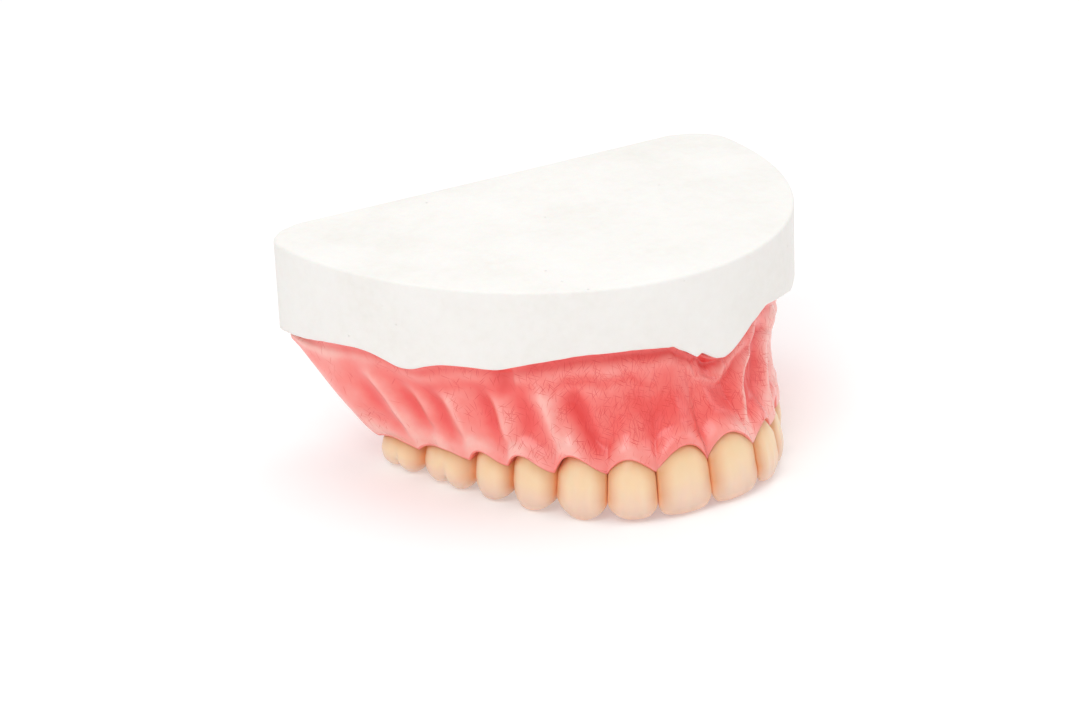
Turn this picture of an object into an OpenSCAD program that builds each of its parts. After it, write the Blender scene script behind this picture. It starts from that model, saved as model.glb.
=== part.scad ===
// Complete upper denture on its plaster cast.
// Frame: +Z up, front of the mouth towards -Y, the wearer's right towards -X, tooth tips on z = 0.
// The denture stands on its teeth with the cast on top of it, and the cast lifts straight up off it.

/* [Arch] */
// Half width of the tooth row, at the back of the last molar
arch_half_w = 29; // [27.5:0.5:30]
// Depth of the tooth row, from the incisal edges to the back of the last molar
arch_depth = 40; // [38:0.5:42]
// Squareness of the arch: higher is flatter in front
arch_power = 3.1; // [2.8:0.1:3.3]
// Length along the arch from the midline to the end of the denture
arch_len = 65; // [64:1:68]

/* [Cast] */
// Height of the cast's flat base above the tooth tips
cast_top = 33.5; // [31:0.5:38]
// Half width of the cast
cast_half_w = 39.3; // [38.5:0.1:42]
// Depth of the cast's curved front, from its foremost point to its widest point
cast_curve = 46.6; // [45.5:0.1:48]
// Distance of the cast's widest point behind the incisal edges
cast_wide_at = 51; // [50:0.5:52]
// Distance of the cast's back wall behind the incisal edges
cast_back = 57; // [56:0.5:60]
// Radius of the shallow hollow in the cast's flat base
hollow_r = 18; // [12:1:20]
// Depth of that hollow
hollow_depth = 0.6; // [0.2:0.1:1.5]

/* [Denture base] */
// Height of the flange border at the front
border_front = 24.9; // [24:0.1:25.5]
// Height of the flange border at the back
border_back = 23.1; // [22:0.1:23.6]
// How far the border lies inside the cast's wall
border_inset = 1.6; // [1.4:0.1:2.2]
// Thickness of the flange at its border
border_t = 2.4; // [2.2:0.1:2.8]
// Thickness of the palate plate
palate_t = 2.3; // [1.8:0.1:3]
// Height of the palate's vault at the back
vault_z = 19.2; // [17:0.1:20]
// Sideways place of the front notch for the lip's frenum
frenum_x = 4; // [0:0.5:5]

/* [Teeth] */
// Gap between the denture base and the cast
seat_gap = 0.3; // [0.25:0.05:0.4]
// Length of each tooth's root end that sits in the denture base
root_len = 2.4; // [1.5:0.1:3]
// Height of the molars' cusps above their fissures
cusp_h = 1.6; // [1:0.1:2]
// Gap between neighbouring teeth
tooth_gap = 0.12; // [0.06:0.02:0.3]

/* [Hidden] */
SIDES = ["right", "left"];
KINDS = ["central_incisor", "lateral_incisor", "canine", "first_premolar",
         "second_premolar", "first_molar", "second_molar"];

// One value per tooth, from the midline to the back
tooth_w = [8.6, 7.2, 7.7, 7.2, 6.7, 9.9, 9.0];
tooth_t = [7.0, 6.4, 8.0, 8.8, 9.0, 10.6, 10.4];
crown_h = [10.5, 9.5, 9.8, 8.9, 8.1, 6.8, 5.7];
tip_z = [0.35, 0.5, 0, 0.1, 0.1, 0, 0];
papilla_z = [7.1, 7.2, 7.2, 6.9, 6.8, 6.1, 5.1, 4.7];
// Share of a tooth's width, away from the midline, where its gum edge stands highest
zenith = [0.45, 0.58, 0.68, 0.7, 0.7, 0.66, 0.6];
first_back_tooth = 3;
molar_from = 5;

row_front = 0.73;
mid_y = (cast_back - row_front) / 2;
spine_front = 16;
spine_back = 50;
crown_segments = 20;
gap_xy = seat_gap + 0.1;
widest_y = -1.1;

function lerp(a, b, t) = a + (b - a) * t;
function unit(v) = v / norm(v);
function clamp01(t) = min(1, max(0, t));
function ease(a, b, v) = let (t = clamp01((v - a) / (b - a))) t * t * (3 - 2 * t);
function bump(v, at, w) = exp(-pow((v - at) / w, 2));
function soft_max(a, b, k) = (a + b + sqrt(pow(a - b, 2) + k * k)) / 2;
function sum_to(list, n, i = 0) = i >= n ? 0 : list[i] + sum_to(list, n, i + 1);

// The arch curve, and the table that turns a length along it into its x
arc_step = 0.25;
function arch_y(x) = arch_depth * pow(abs(x) / arch_half_w, arch_power);
function arc_piece(i) = norm([arc_step, arch_y((i + 1) * arc_step) - arch_y(i * arc_step)]);
arc = [for (i = 0, s = 0; i <= 160; s = s + arc_piece(i), i = i + 1) [s, i * arc_step]];
function arch_point(s) = let (x = sign(s) * lookup(abs(s), arc)) [x, arch_y(x)];

// Sections run from the arch curve to the spine, a line in the midline of the palate
function spine_y(s) = lerp(spine_front, spine_back, pow(abs(s) / arch_len, 1.5));
function inward(s) = unit([0, spine_y(s)] - arch_point(s));
function span(s) = norm([0, spine_y(s)] - arch_point(s));
function place(s, r, z) = let (p = arch_point(s) - r * inward(s)) [p.x, p.y - mid_y, z];

// Distance outwards from the arch curve to an oval that is `inset` inside the cast's wall
function oval_r(s, inset) =
    let (p = arch_point(s) - [0, cast_wide_at], u = -inward(s),
         h = [cast_half_w - inset, cast_curve - inset],
         a = pow(u.x / h.x, 2) + pow(u.y / h.y, 2),
         b = 2 * (p.x * u.x / pow(h.x, 2) + p.y * u.y / pow(h.y, 2)),
         c = pow(p.x / h.x, 2) + pow(p.y / h.y, 2) - 1)
    (sqrt(b * b - 4 * a * c) - b) / (2 * a);

// Heights that vary along the arch
notch = [[-4, 0], [1.3, 3.1], [2.5, 2.6], [6, 4.2], [8, 4.5], [9.5, 4.2], [12, 3.1], [15, 1.4], [19, 0]];
function border_z(s) =
    let (a = abs(s))
    lerp(border_front, border_back, ease(18, 32, a)) - 0.3 * bump(a, 30, 2)
    - 1.5 * bump(a, 42, 3.5) - 2.0 * ease(48, 66, a)
    - (s < -4 ? 0.6 * bump(s, -4, 5) : lookup(s - (frenum_x - 4), notch) + 0.6 * bump(s, -4, 3));
function land_z(s) = border_z(s) - 0.8;
function crest_z(s) = lerp(14, 11.6, ease(10, 30, abs(s))) + 7.6 * ease(54, 66, abs(s));
function crest_r(s) = lerp(-9, -6, ease(10, 30, abs(s)));
function vault(s) = lerp(14.2, vault_z, ease(0, 30, abs(s))) + 0.6 * ease(40, 66, abs(s));

tooth_start = [for (i = [0 : 7]) sum_to(tooth_w, i)];
tooth_mid = [for (i = [0 : 6]) tooth_start[i] + tooth_w[i] / 2];
row_end = tooth_start[7];
palatal_table = concat([for (i = [0 : 6]) [tooth_mid[i], -tooth_t[i] - 0.5]], [[arch_len, -10.5]]);

// Scalloped gum edge: high over the middle of each crown, low at the papilla between two crowns
function tooth_at(s) = s >= tooth_start[6] ? 6 : [for (i = [0 : 6]) if (s < tooth_start[i + 1]) i][0];
function gum_z(s) =
    let (a = abs(s), i = tooth_at(a), t = clamp01((a - tooth_start[i]) / tooth_w[i]))
    a > row_end ? lerp(papilla_z[7], 17.4, ease(row_end, arch_len + 1.5, a))
    : lerp(papilla_z[i], papilla_z[i + 1], t)
      + (crown_h[i] - lerp(papilla_z[i], papilla_z[i + 1], 0.5)) * pow(max(0, sin(180 * pow(t, ln(0.5) / ln(zenith[i])))), 0.8);
function palatal_gum_z(s) =
    let (a = abs(s)) lookup(a, [[0, 7.6], [20, 6.4], [45, 4.8], [row_end, 5], [arch_len, 17.6]]);
function palatal_r(s) = lookup(abs(s), palatal_table);
function facial_r(s) = lerp(-0.9, 0.9, ease(15, 30, abs(s))) + 0.6 * ease(row_end, arch_len, abs(s));
// How far the flange bulges between its border and the gum edge: hollow in front, full at the back
function bulge(s) = lerp(-0.9, 1.6, ease(36, 60, abs(s)));

// Palate profile at a share x of the way from the spine to the palatal gum edge
function palate_z(s, x) = vault(s) - (vault(s) - palatal_gum_z(s)) * pow(x, 2.2);
function palate_slope(s, x) =
    2.2 * (vault(s) - palatal_gum_z(s)) * pow(x, 1.2) / (span(s) + palatal_r(s));

// Height of the palate plate's upper face, where its thickness is t
function plate_top(s, x, t) = palate_z(s, x) + t * sqrt(1 + pow(palate_slope(s, x), 2));

// Outer skin of the denture base: rolled border, flange, gum edge, tooth bed, palate
function polished(s) =
    let (rb = oval_r(s, border_inset), zb = border_z(s), rg = facial_r(s), g = gum_z(s),
         rp = palatal_r(s), gp = palatal_gum_z(s), d = span(s))
    concat(
        [place(s, rb - 0.9, zb), place(s, rb - 0.2, zb - 0.4), place(s, rb, zb - 1.3)],
        [for (t = [0.2 : 0.2 : 1.01])
            place(s, lerp(rb, rg, t) + bulge(s) * sin(180 * min(1, t)), lerp(zb - 1.3, g, t))],
        [place(s, rg - 0.9, g - 0.1), place(s, lerp(rg, rp, 0.5), lerp(g, gp, 0.5) + 0.6),
         place(s, rp + 0.8, gp), place(s, rp, gp + 0.5)],
        [for (x = [0.84 : -0.21 : -0.01]) let (q = max(0, x)) place(s, (d + rp) * q - d, palate_z(s, q))]);

// Side that faces the cast, `gap` further up: sulcus, ridge and palate
function seat(s, gap) =
    let (rin = oval_r(s, border_inset) - border_t - (gap > 0 ? gap_xy : 0), zin = border_z(s) - 1.2,
         rc = crest_r(s), zc = crest_z(s) + gap, rp = palatal_r(s), d = span(s), q0 = (d + rc) / (d + rp))
    concat(
        [for (t = [90 : -18 : 0]) place(s, lerp(rc, rin, sin(t)), lerp(zc, zin + gap, 1 - cos(t)))],
        [for (j = [1 : 10])
            let (q = q0 * (1 - j / 10), x = min(q, 1.3))
            place(s, (d + rp) * q - d,
                  soft_max(zc, plate_top(s, x, palate_t + gap), 0.6) - 0.3 * pow(q / q0, 4))]);

function fitting_side(s) =
    concat([place(s, oval_r(s, border_inset) - 1.6, border_z(s))], seat(s, 0));

// Underside of the cast: wall edge, land, sulcus round the border, ridge and palate
function cast_side(s) =
    let (rb = oval_r(s, border_inset), zb = border_z(s))
    concat(
        [place(s, oval_r(s, 0), land_z(s)), place(s, rb + 0.45, land_z(s)),
         place(s, rb + 0.3, zb - 0.2), place(s, rb - 0.7, zb + seat_gap + 0.1),
         place(s, rb - 1.8, zb + seat_gap + 0.1)],
        seat(s, seat_gap));

// Stations: four to a tooth, then the tuberosity behind the last molar
half_row = concat(
    [for (i = [0 : 6]) for (t = [0 : 0.25 : 0.76]) tooth_start[i] + tooth_w[i] * t],
    [for (t = [0 : 0.2 : 1.01]) lerp(row_end, arch_len, min(1, t))]);
half_n = len(half_row) - 1;
row = concat([for (i = [half_n : -1 : 1]) -half_row[i]], half_row);

// Faces between two neighbouring lines of points, given the index of each point
function strip(a, b) =
    [for (i = [0 : len(a) - 2]) each [[a[i], a[i + 1], b[i + 1]], [a[i], b[i + 1], b[i]]]];
// Point index in a grid whose last column is shared by the two halves of the arch
function cell(j, k, rows, cols) = (k == cols - 1 ? min(j, rows - 1 - j) : j) * cols + k;
function line(j, rows, cols) = [for (k = [0 : cols - 1]) cell(j, k, rows, cols)];
function grid(rows, cols) =
    [for (j = [0 : rows - 2]) each strip(line(j, rows, cols), line(j + 1, rows, cols))];
function shift(faces, by) = [for (f = faces) [for (i = f) i + by]];
function flip(faces) = [for (f = faces) [for (i = [len(f) - 1 : -1 : 0]) f[i]]];
function solid_faces(faces) = [for (f = faces) if (f[0] != f[1] && f[1] != f[2] && f[2] != f[0]) f];
function closed(ring) = concat(ring, [ring[0]]);
function flat(lists) = [for (l = lists) each l];

module denture_body() {
    outer = [for (s = row) polished(s)];
    inner = [for (s = row) fitting_side(s)];
    rows = len(row);
    cols = len(outer[0]);
    assert(cols == len(inner[0]));
    n = rows * cols;
    edge = [for (j = [0 : rows - 1]) j * cols];
    border = strip([for (i = edge) i + n], edge);
    ends = [for (j = [0, rows - 1])
        let (a = line(j, rows, cols), b = [for (i = a) i + n])
        j == 0 ? strip(a, b) : strip(b, a)];
    polyhedron(concat(flat(outer), flat(inner)),
        solid_faces(concat(flip(grid(rows, cols)), shift(grid(rows, cols), n),
                           border, flat(ends))), convexity = 6);
}

// Cast: its underside, the heel rows behind the denture on each side, its wall and its top.
// Each heel row is its distance behind the widest point and its half width.
heel = [[1.2, 39.2], [3.0, 38.2], [4.8, 36.2], [6, 33]];
heel_half_w = 39.3;
heel_depth = 6;
function heel_row(h, side) =
    let (base = cast_side(side * arch_len), out = base[0].x,
         y = lerp(cast_wide_at, cast_back, h[0] / heel_depth), x = h[1] / heel_half_w * cast_half_w)
    [for (p = base)
        let (u = p.x / out)
        [side * x * u, y - mid_y,
         lerp(p.z, lerp(vault(arch_len) + palate_t, land_z(arch_len), u * u), ease(-1, 3, h[0]))]];

module cast_body() {
    last = len(heel) - 1;
    under = concat([for (i = [last : -1 : 0]) heel_row(heel[i], -1)], [for (s = row) cast_side(s)],
                   [for (i = [0 : last]) heel_row(heel[i], 1)]);
    rows = len(under);
    cols = len(under[0]);
    wall = [for (r = under) [r[0].x, r[0].y, cast_top]];
    centre = [0, 36 - mid_y];
    rings = [1, 0.75, 0.5, 0.25];
    top = [for (f = rings) for (w = wall)
        let (a = unit([w.x, w.y] - centre) * hollow_r * f)
        [centre.x + a.x, centre.y + a.y, cast_top - hollow_depth * (1 + cos(180 * f)) / 2]];
    n = rows * cols;
    at = [for (f = [0 : len(rings)]) [for (j = [0 : rows - 1]) n + f * rows + j]];
    middle = n + (len(rings) + 1) * rows;
    edge = [for (j = [0 : rows - 1]) j * cols];
    around = [for (f = [0 : len(rings) - 1]) each flip(strip(closed(at[f]), closed(at[f + 1])))];
    cap = [for (j = [0 : rows - 1]) [at[len(rings)][(j + 1) % rows], at[len(rings)][j], middle]];
    // The back wall joins the first and last rows, which meet in the midline
    back_low = concat(line(0, rows, cols), [for (k = [cols - 2 : -1 : 0]) (rows - 1) * cols + k]);
    corner = [at[0][0], at[0][rows - 1]];
    back = [for (i = [0 : len(back_low) - 2]) [back_low[i], back_low[i + 1], corner[i < cols - 1 ? 0 : 1]]];
    polyhedron(concat(flat(under), wall, top, [[centre.x, centre.y, cast_top - hollow_depth]]),
        solid_faces(concat(flip(grid(rows, cols)), flip(strip(edge, at[0])), around, cap, back,
                           [[back_low[cols - 1], corner[1], corner[0]]])), convexity = 6);
}

// Crown outline at height share v, as [half width, facial y, lingual y], for front and back teeth
front_rings = [[0, 0.80, 0.00, 0.23], [0.1, 0.95, 0.10, 0.28], [0.3, 1.0, 0.05, 0.40],
               [0.6, 0.93, -0.03, 0.72], [0.85, 0.80, -0.12, 0.97], [1, 0.72, -0.20, 1.0],
               [1.2, 0.52, -0.52, 0.86]];
back_rings = [[0, 0.72, 0.02, 0.80], [0.18, 0.92, 0.10, 0.90], [0.4, 1.0, 0.14, 0.95],
              [0.7, 0.95, 0.12, 0.95], [1, 0.84, 0.03, 0.90], [1.25, 0.66, -0.14, 0.80]];

// How far the biting edge rises above the tip, round the crown from distal (0) through facial (90)
function edge_rise(i, a) =
    i == 2 ? 1.9 * pow(abs(cos(a)), 1.4)
    : i < first_back_tooth ? 0.5 * pow(abs(cos(a)), 4) + 0.3 * pow(max(0, cos(a)), 3)
    : i < molar_from ? cusp_h * pow(abs(cos(a)), 1.2) + 0.35 * max(0, sin(a))
    : cusp_h * 0.75 * pow(cos(2 * a), 2) + 0.3 * max(0, sin(a));

// Angle of each tooth on the arch, and half the turn to the next one forwards or backwards
function tooth_angle(i) =
    let (v = arch_point(tooth_start[i + 1]) - arch_point(tooth_start[i])) atan2(v.y, v.x);
function half_chord(i) = norm(arch_point(tooth_start[i + 1]) - arch_point(tooth_start[i])) / 2;
function turn_back(i) = i < 6 ? (tooth_angle(i + 1) - tooth_angle(i)) / 2 : 0;
function turn_front(i) = i > 0 ? turn_back(i - 1) : tooth_angle(0);
// Flat contact with the next tooth, which leans in towards the palate by the half turn
function contact_x(i, c, y) =
    half_chord(i) - tooth_gap / 2 + y * tan(c > 0 ? turn_back(i) : turn_front(i));

function crown_ring(i, ring, v_top) =
    let (v = ring[0],
         z = v > 1 ? crown_h[i] + root_len * (v - 1) / (v_top - 1) : lerp(tip_z[i], crown_h[i], v),
         hw = tooth_w[i] / 2 * ring[1], yf = ring[2] * tooth_t[i], yl = -ring[3] * tooth_t[i],
         yc = min(max(lerp(yf, yl, 0.4), widest_y), yf - 1), e = 0.8)
    [for (k = [0 : crown_segments - 1])
        let (a = 360 * k / crown_segments, c = cos(a), n = sin(a),
             y = yc + (n > 0 ? yf - yc : yc - yl) * sign(n) * pow(abs(n), e))
        [sign(c) * min(hw * pow(abs(c), e), contact_x(i, c, y)), y,
         z + edge_rise(i, a) * pow(1 - clamp01(v / 0.6), 2)]];

module crown(i) {
    back = i >= first_back_tooth;
    table = back ? back_rings : front_rings;
    v_top = table[len(table) - 1][0];
    rings = [for (ring = table) crown_ring(i, ring, v_top)];
    low = rings[0];
    fossa = back ? cusp_h * 0.85 + tip_z[i] : tip_z[i];
    middle = [(low[0].x + low[crown_segments / 2].x) / 2,
              (low[crown_segments / 4].y + low[crown_segments * 3 / 4].y) / 2];
    inner = [for (p = low) [lerp(middle.x, p.x, 0.5), lerp(middle.y, p.y, 0.5), lerp(fossa, p.z, 0.3)]];
    n = crown_segments;
    root = rings[len(rings) - 1];
    points = concat(inner, flat(rings), [[middle.x, middle.y, fossa]],
                    [(root[crown_segments / 4] + root[crown_segments * 3 / 4]) / 2]);
    loop = [for (j = [0 : len(rings)]) [for (k = [0 : n]) j * n + k % n]];
    under = (len(rings) + 1) * n;
    faces = concat(
        [for (k = [0 : n - 1]) [loop[0][k], loop[0][k + 1], under]],
        [for (j = [0 : len(rings) - 1]) each flip(strip(loop[j], loop[j + 1]))],
        [for (k = [0 : n - 1]) [loop[len(rings)][k + 1], loop[len(rings)][k], under + 1]]);
    polyhedron(points, faces, convexity = 4);
}

// side is -1 for the wearer's right, where the crown is mirrored, and 1 for the left
module placed_crown(i, side) {
    a = arch_point(tooth_start[i]);
    b = arch_point(tooth_start[i + 1]);
    m = arch_point(tooth_mid[i]);
    scale_side = side < 0 ? [1, 0, 0] : [0, 0, 0];
    mirror(scale_side)
        translate([m.x, m.y - mid_y, 0])
            rotate(atan2(b.y - a.y, b.x - a.x))
                mirror([0, 1, 0])
                    crown(i);
}

module tooth(i, side) {
    color([0.95, 0.82, 0.66]) placed_crown(i, side);
}

module denture_base() {
    color([0.93, 0.45, 0.43])
        resize([0, 0, 0])
            difference() {
                denture_body();
                for (i = [0 : 6]) for (side = [-1, 1]) placed_crown(i, side);
            }
}

module plaster_cast() {
    color([0.95, 0.94, 0.92]) cast_body();
}

plaster_cast();
denture_base();
for (side = [0, 1])
    for (i = [0 : 6])
        tooth(i, 2 * side - 1);
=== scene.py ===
"""Complete upper denture on its plaster cast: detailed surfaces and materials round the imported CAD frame.

Lengths are in millimetres: +Z up from the tooth tips, front towards -Y, and y = 0 at the front of the arch
curve, which is MID_Y in front of the CAD frame's origin.
"""
import math

import bmesh
import bpy
import numpy as np
from mathutils import Matrix, Vector


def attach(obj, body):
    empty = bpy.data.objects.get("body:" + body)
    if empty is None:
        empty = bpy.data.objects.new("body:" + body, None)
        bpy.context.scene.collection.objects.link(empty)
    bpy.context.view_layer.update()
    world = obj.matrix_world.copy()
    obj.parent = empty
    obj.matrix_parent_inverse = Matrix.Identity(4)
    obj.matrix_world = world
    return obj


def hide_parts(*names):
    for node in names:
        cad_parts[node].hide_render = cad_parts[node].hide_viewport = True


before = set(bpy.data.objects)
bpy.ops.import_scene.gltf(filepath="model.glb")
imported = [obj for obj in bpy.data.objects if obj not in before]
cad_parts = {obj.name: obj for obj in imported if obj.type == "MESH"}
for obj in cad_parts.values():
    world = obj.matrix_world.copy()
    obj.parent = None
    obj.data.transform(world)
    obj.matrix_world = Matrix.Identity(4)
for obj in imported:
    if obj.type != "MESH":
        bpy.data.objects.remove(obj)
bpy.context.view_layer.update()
MM = 0.001
SEED = 12

# ---- driving dimensions
# They are the part's own, apart from CONTACT_GAP, which is wider there.
# arch curve in plan, y = ARCH_DEPTH * (|x| / ARCH_HALF_W) ** ARCH_POWER, and its length to each side
ARCH_HALF_W, ARCH_DEPTH, ARCH_POWER, ARCH_LEN = 29.0, 40.0, 3.1, 65.0
# cast: height of its flat face, half axes and middle of the oval its wall follows, and its back wall
CAST_TOP, CAST_HALF_W, CAST_CURVE = 33.5, 39.3, 46.6
CAST_WIDE_AT, CAST_BACK = 51.0, 57.0
# shallow dish in the flat face
DISH_R, DISH_DEPTH, DISH_Y = 18.0, 0.6, 36.0
# border of the base: height in front and behind, inset from the cast's wall, and thickness
BORDER_FRONT, BORDER_BACK, BORDER_INSET, BORDER_T = 24.9, 23.1, 1.6, 2.4
# how far the cast's land lies below the border, and the gum edge's height at the heel
LAND_DROP, HEEL_GUM_Z = 0.8, 17.4
# palate: thickness, height of its vault in front and further back, and the power of its section
PALATE_T, VAULT_FRONT, VAULT_Z, VAULT_POWER = 2.3, 14.2, 19.2, 2.2
# gap between base and cast, and between two crowns
SEAT_GAP, CONTACT_GAP = 0.3, 0.03
# how far the front teeth stand out in front of the arch curve
ROW_FRONT = 0.73
MID_Y = (CAST_BACK - ROW_FRONT) / 2
# where on the midline the sections across the base end, for the front teeth and for the heels
SPINE_FRONT, SPINE_BACK = 16.0, 50.0

KINDS = ("central_incisor", "lateral_incisor", "canine", "first_premolar",
         "second_premolar", "first_molar", "second_molar")
# width along the arch, thickness, gum height and tip height of each tooth, and the gum height between them
TOOTH_W = np.array([8.6, 7.2, 7.7, 7.2, 6.7, 9.9, 9.0])
TOOTH_T = np.array([7.0, 6.4, 8.0, 8.8, 9.0, 10.6, 10.4])
CROWN_H = np.array([10.5, 9.5, 9.8, 8.9, 8.1, 6.8, 5.7])
TIP_Z = np.array([0.35, 0.5, 0, 0.1, 0.1, 0, 0])
PAPILLA_Z = np.array([7.1, 7.2, 7.2, 6.9, 6.8, 6.1, 5.1, 4.7])
# share of each tooth's width, away from the midline, where its gum edge stands highest
ZENITH = np.array([0.45, 0.58, 0.68, 0.70, 0.70, 0.66, 0.60])
START = np.concatenate([[0], np.cumsum(TOOTH_W)])
MIDDLE = (START[:-1] + START[1:]) / 2
ROW_END = START[-1]
CANINE, FIRST_BACK, FIRST_MOLAR = 2, 3, 5


def lerp(a, b, t):
    return a + (b - a) * t


def ease(a, b, v):
    """0 up to a, 1 from b on, and a smooth rise between them."""
    t = np.clip((v - a) / (b - a), 0, 1)
    return t * t * (3 - 2 * t)


def bump(v, at, w):
    """A rounded peak of 1 at one place, w wide to each side."""
    return np.exp(-((v - at) / w) ** 2)


def fade(n, a=0.0, b=1.0):
    return np.linspace(a, b, n)


def soft_max(a, b, k):
    return (a + b + np.sqrt((a - b) ** 2 + k * k)) / 2


def smooth_curve(table, v, soft):
    """Value at v of a table of (place, value) rows, its corners rounded over about soft to each side."""
    x, y = np.array(table, float).T
    grid = np.linspace(x[0], x[-1], 800)
    n = max(1, int(soft / (grid[1] - grid[0])))
    k = np.hanning(2 * n + 3)
    line = np.convolve(np.pad(np.interp(grid, x, y), n + 1, mode="edge"), k / k.sum(), "valid")
    return np.interp(v, grid, line)


# ---- arch
_xs = np.linspace(0, 40, 4001)
_ys = ARCH_DEPTH * (_xs / ARCH_HALF_W) ** ARCH_POWER
_arc = np.concatenate([[0], np.cumsum(np.hypot(np.diff(_xs), np.diff(_ys)))])


def arch_point(s):
    """Point of the arch curve at s, its length from the midline, negative on the wearer's right."""
    x = np.sign(s) * np.interp(np.abs(s), _arc, _xs)
    return np.stack([x, ARCH_DEPTH * (np.abs(x) / ARCH_HALF_W) ** ARCH_POWER], -1)


def spine_y(s):
    return lerp(SPINE_FRONT, SPINE_BACK, (np.abs(s) / ARCH_LEN) ** 1.5)


def span_vector(s):
    """Direction and length from the arch curve inwards to the midline."""
    to = np.stack([0 * s, spine_y(s)], -1) - arch_point(s)
    d = np.linalg.norm(to, axis=-1)
    return to / d[..., None], d


def oval_r(s, inset):
    """Distance outwards from the arch curve to the oval that lies inset within the cast's wall."""
    p = arch_point(s) - np.array([0, CAST_WIDE_AT])
    u = -span_vector(s)[0]
    hx, hy = CAST_HALF_W - inset, CAST_CURVE - inset
    a = (u[..., 0] / hx) ** 2 + (u[..., 1] / hy) ** 2
    b = 2 * (p[..., 0] * u[..., 0] / hx ** 2 + p[..., 1] * u[..., 1] / hy ** 2)
    c = (p[..., 0] / hx) ** 2 + (p[..., 1] / hy) ** 2 - 1
    return (np.sqrt(b * b - 4 * a * c) - b) / (2 * a)


# ---- heights along the arch
# how far the lip's frenum and its neighbours notch the border, by length along the arch
NOTCH = [(-80, 0), (-4, 0), (1.3, 3.1), (2.5, 2.6), (6, 4.2), (8, 4.5), (9.5, 4.2), (12, 3.1), (15, 1.4),
         (19, 0), (80, 0)]


def border_z(s):
    a = np.abs(s)
    notch = smooth_curve(NOTCH, s, 0.5) + 0.6 * bump(s, -4, np.where(s < -4, 5, 3))
    return (lerp(BORDER_FRONT, BORDER_BACK, ease(18, 32, a)) - 0.3 * bump(a, 30, 2)
            - 1.5 * bump(a, 42, 3.5) - 2.0 * ease(48, 66, a) - notch)


def land_z(s):
    return border_z(s) - LAND_DROP


def crest_z(s):
    """Height of the jaw's ridge inside the base."""
    return lerp(14, 11.6, ease(10, 30, np.abs(s))) + 7.6 * ease(54, 66, np.abs(s))


def crest_r(s):
    return lerp(-9, -6, ease(10, 30, np.abs(s)))


def vault(s):
    return lerp(VAULT_FRONT, VAULT_Z, ease(0, 30, np.abs(s))) + 0.6 * ease(40, 66, np.abs(s))


def tooth_place(s):
    """Number of the tooth at s, and the share of its width away from the midline."""
    a = np.abs(s)
    i = np.clip(np.searchsorted(START, a, side="right") - 1, 0, len(KINDS) - 1)
    return i, np.clip((a - START[i]) / TOOTH_W[i], 0, 1)


def crown_middle(s):
    """1 in the middle of each crown, 0 between two."""
    return np.sin(np.pi * tooth_place(s)[1])


def gum_z(s):
    """Scalloped gum edge: high over each crown, low at the papilla between two crowns."""
    a = np.abs(s)
    i, t = tooth_place(s)
    low = lerp(PAPILLA_Z[i], PAPILLA_Z[i + 1], t)
    peak = CROWN_H[i] - lerp(PAPILLA_Z[i], PAPILLA_Z[i + 1], 0.5)
    skewed = t ** (math.log(0.5) / np.log(ZENITH[i]))
    row = low + peak * np.maximum(0, np.sin(np.pi * skewed)) ** 0.8
    end = lerp(PAPILLA_Z[-1], HEEL_GUM_Z, ease(ROW_END, ARCH_LEN + 1.5, a))
    return np.where(a > ROW_END, end, row)


def palatal_gum_z(s):
    return smooth_curve([(0, 7.6), (20, 6.4), (45, 4.8), (ROW_END, 5), (ARCH_LEN, 17.6)], np.abs(s), 2)


def palatal_r(s):
    """Distance outwards from the arch curve to where the palate starts, behind the teeth."""
    rows = [(m, -t - 0.5) for m, t in zip(MIDDLE, TOOTH_T)] + [(ARCH_LEN, -10.5)]
    return smooth_curve([(0, rows[0][1])] + rows, np.abs(s), 2)


def facial_r(s):
    """The same for the gum edge, in front of the teeth."""
    a = np.abs(s)
    return lerp(-0.9, 0.9, ease(15, 30, a)) + 0.6 * ease(ROW_END, ARCH_LEN, a)


def bulge(s):
    """How far the flange stands out past a straight line from border to gum edge."""
    return lerp(-0.9, 1.6, ease(36, 60, np.abs(s))) + 0.9 * ease(52, 64, np.abs(s))


def palate_z(s, x):
    """Height of the palate at share x of the way from the midline to the teeth."""
    return vault(s) - (vault(s) - palatal_gum_z(s)) * np.maximum(x, 0) ** VAULT_POWER


# ---- relief of the flange
# Its places are lengths along the arch and shares t of the way from the border (0) to the gum edge (1).
# ridge: side (-1 the wearer's right, 1 the left, 0 both), line of its crest as (t, place) rows, height,
# width towards the midline, width away from it
RIDGES = [
    (-1, [(0.34, 15.8), (0.92, 11.0)], 0.26, 2.4, 2.0),
    (1, [(0.22, 18.2), (0.34, 15.6), (0.55, 11.6), (0.92, 8.6)], 0.95, 2.8, 0.8),
    (1, [(0.14, 25.8), (0.45, 22.2), (0.92, 17.6)], 1.30, 2.5, 0.8),
    (-1, [(0.26, 26.0), (0.55, 24.6), (0.85, 22.6), (1.0, 20.6)], 0.85, 2.1, 1.4),
    (1, [(0.10, 31.0), (0.45, 28.4), (0.92, 25.0)], 1.0, 2.2, 0.8),
    (0, [(0.34, 32.0), (0.60, 31.2), (0.95, 29.6)], 0.75, 2.0, 1.1),
    (0, [(0.30, 39.4), (0.60, 38.3), (0.95, 36.6)], 0.80, 2.3, 1.1),
    (0, [(0.32, 43.6), (0.80, 42.4)], 0.45, 1.0, 0.9),
    (0, [(0.26, 50.4), (0.55, 48.4), (0.90, 46.6)], 0.80, 1.9, 1.2),
    (0, [(0.35, 57.0), (0.90, 54.4)], 0.35, 2.2, 2.2),
]
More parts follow.
